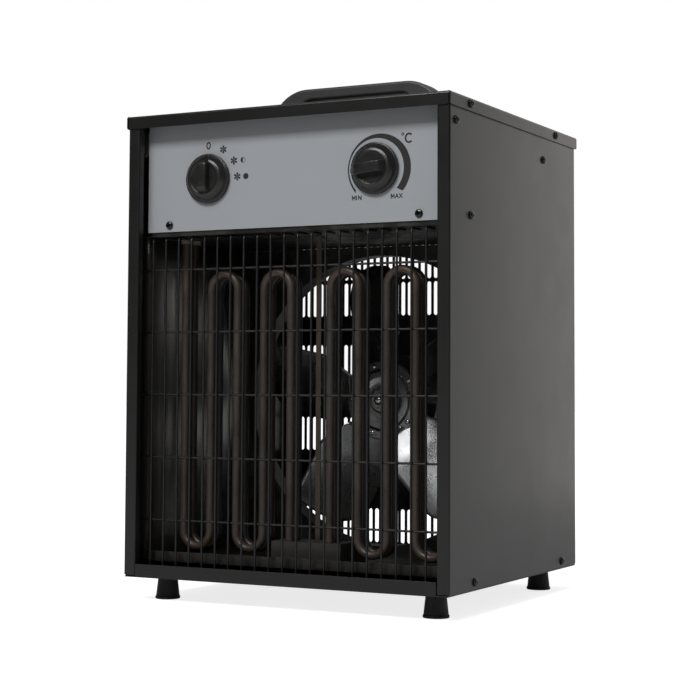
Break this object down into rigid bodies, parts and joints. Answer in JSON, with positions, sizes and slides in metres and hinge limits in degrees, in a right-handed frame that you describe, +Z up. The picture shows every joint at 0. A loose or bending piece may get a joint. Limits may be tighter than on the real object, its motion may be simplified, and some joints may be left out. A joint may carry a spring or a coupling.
{
  "type": "electric fan heater",
  "caption": "Box-shaped electric fan heater on rubber feet, with tubular elements behind a wire grille, a rear axial fan, rotary controls and a carrying handle.",
  "frame": {"origin": "on the floor, under the centre of the whole heater's bounding box", "axes": "+Z up; the grille and controls face -Y; +X is to the right of someone facing the front; the cable gland and the reset button are on the +Y side"},
  "size_m": [0.3578, 0.356, 0.52],
  "materials": {
    "cabinet_paint": "satin black powder coat, finely textured",
    "panel_paint": "light grey satin powder coat",
    "zinc_sheet": "zinc-plated sheet",
    "grille_wire": "black powder coat",
    "reflector_sheet": "aluminised sheet, dull mirror",
    "fan_plate_sheet": "galvanised sheet",
    "element_sheath": "heat-browned steel tube",
    "ceramic": "unglazed steatite",
    "phenolic": "moulded phenolic",
    "stay_steel": "heat-darkened steel strip",
    "bracket_paint": "black paint",
    "motor_paint": "dark grey paint",
    "bearing_bronze": "sintered bronze",
    "winding": "lacquered copper winding",
    "rotor_iron": "turned laminations",
    "shaft_steel": "ground steel",
    "blade_aluminium": "pressed aluminium",
    "bright_nut": "bright plating",
    "handle_plastic": "grained black plastic",
    "plated_screw": "zinc plating",
    "foot_rubber": "matt black rubber",
    "knob_plastic": "fine-grained black plastic",
    "switch_plastic": "black nylon",
    "thermostat_case": "yellow-passivated case",
    "copper_tube": "bare copper",
    "cutout_plastic": "black plastic",
    "reset_red": "red plastic",
    "contactor_plastic": "dark grey plastic",
    "terminal_nylon": "natural nylon",
    "gland_plastic": "black nylon",
    "gland_rubber": "black rubber",
    "black_screw": "blackened steel, bright where worn"
  },
  "bodies": {
    "cabinet": {"base_pan": "cabinet_paint", "side_panel_left": "cabinet_paint", "side_panel_right": "cabinet_paint", "rear_panel": "cabinet_paint", "top_cover": "cabinet_paint", "control_panel": "panel_paint", "panel_bracket_left": "zinc_sheet", "panel_bracket_right": "zinc_sheet", "roof_brace": "zinc_sheet", "front_grille": "grille_wire", "reflector_left": "reflector_sheet", "reflector_right": "reflector_sheet", "chamber_ceiling": "reflector_sheet", "chamber_floor": "reflector_sheet", "fan_plate": "fan_plate_sheet", "element_front_left": "element_sheath", "element_front_right": "element_sheath", "element_rear_left": "element_sheath", "element_rear_right": "element_sheath", "ceiling_insulators": "ceramic", "element_terminal_block": "phenolic", "element_stay": "stay_steel", "motor_bracket": "bracket_paint", "motor_housing": "motor_paint", "motor_end_cap": "motor_paint", "motor_bearings": "bearing_bronze", "motor_stator": "winding", "handle": "handle_plastic", "handle_screws": "plated_screw", "foot_front_left": "foot_rubber", "foot_front_right": "foot_rubber", "foot_rear_left": "foot_rubber", "foot_rear_right": "foot_rubber", "foot_screws": "plated_screw", "foot_nuts": "plated_screw", "mode_switch": "switch_plastic", "thermostat": "thermostat_case", "thermostat_sensor": "copper_tube", "thermal_cutout": "cutout_plastic", "contactor": "contactor_plastic", "supply_terminals": "terminal_nylon", "gland_body": "gland_plastic", "gland_locknut": "gland_plastic", "gland_seal": "gland_rubber", "gland_nut": "gland_plastic", "cover_screws": "black_screw", "side_screws": "black_screw", "panel_screws": "black_screw", "rear_screws": "black_screw", "bracket_screws": "black_screw"},
    "mode_dial": {"mode_spindle": "shaft_steel", "mode_knob": "knob_plastic"},
    "thermostat_dial": {"thermostat_spindle": "shaft_steel", "thermostat_knob": "knob_plastic"},
    "fan": {"motor_rotor": "rotor_iron", "motor_shaft": "shaft_steel", "fan_blades": "blade_aluminium", "fan_nut": "bright_nut"},
    "reset": {"reset_button": "reset_red"}
  },
  "joints": [
    {"name": "mode_turn", "type": "hinge", "parent": "cabinet", "child": "mode_dial", "pos_m": [-0.0915, -0.1665, 0.4125], "axis": [0, 1, 0], "range_deg": [0, 90]},
    {"name": "thermostat_turn", "type": "hinge", "parent": "cabinet", "child": "thermostat_dial", "pos_m": [0.0915, -0.1665, 0.4125], "axis": [0, 1, 0], "range_deg": [-45, 235]},
    {"name": "fan_spin", "type": "hinge", "parent": "cabinet", "child": "fan", "pos_m": [0, 0.0425, 0.196], "axis": [0, 1, 0], "continuous": true},
    {"name": "reset_press", "type": "slide", "parent": "cabinet", "child": "reset", "axis": [0, -1, 0], "range_m": [0, 0.0025], "stiffness_N_per_m": 400, "springref_m": -0.001}
  ]
}
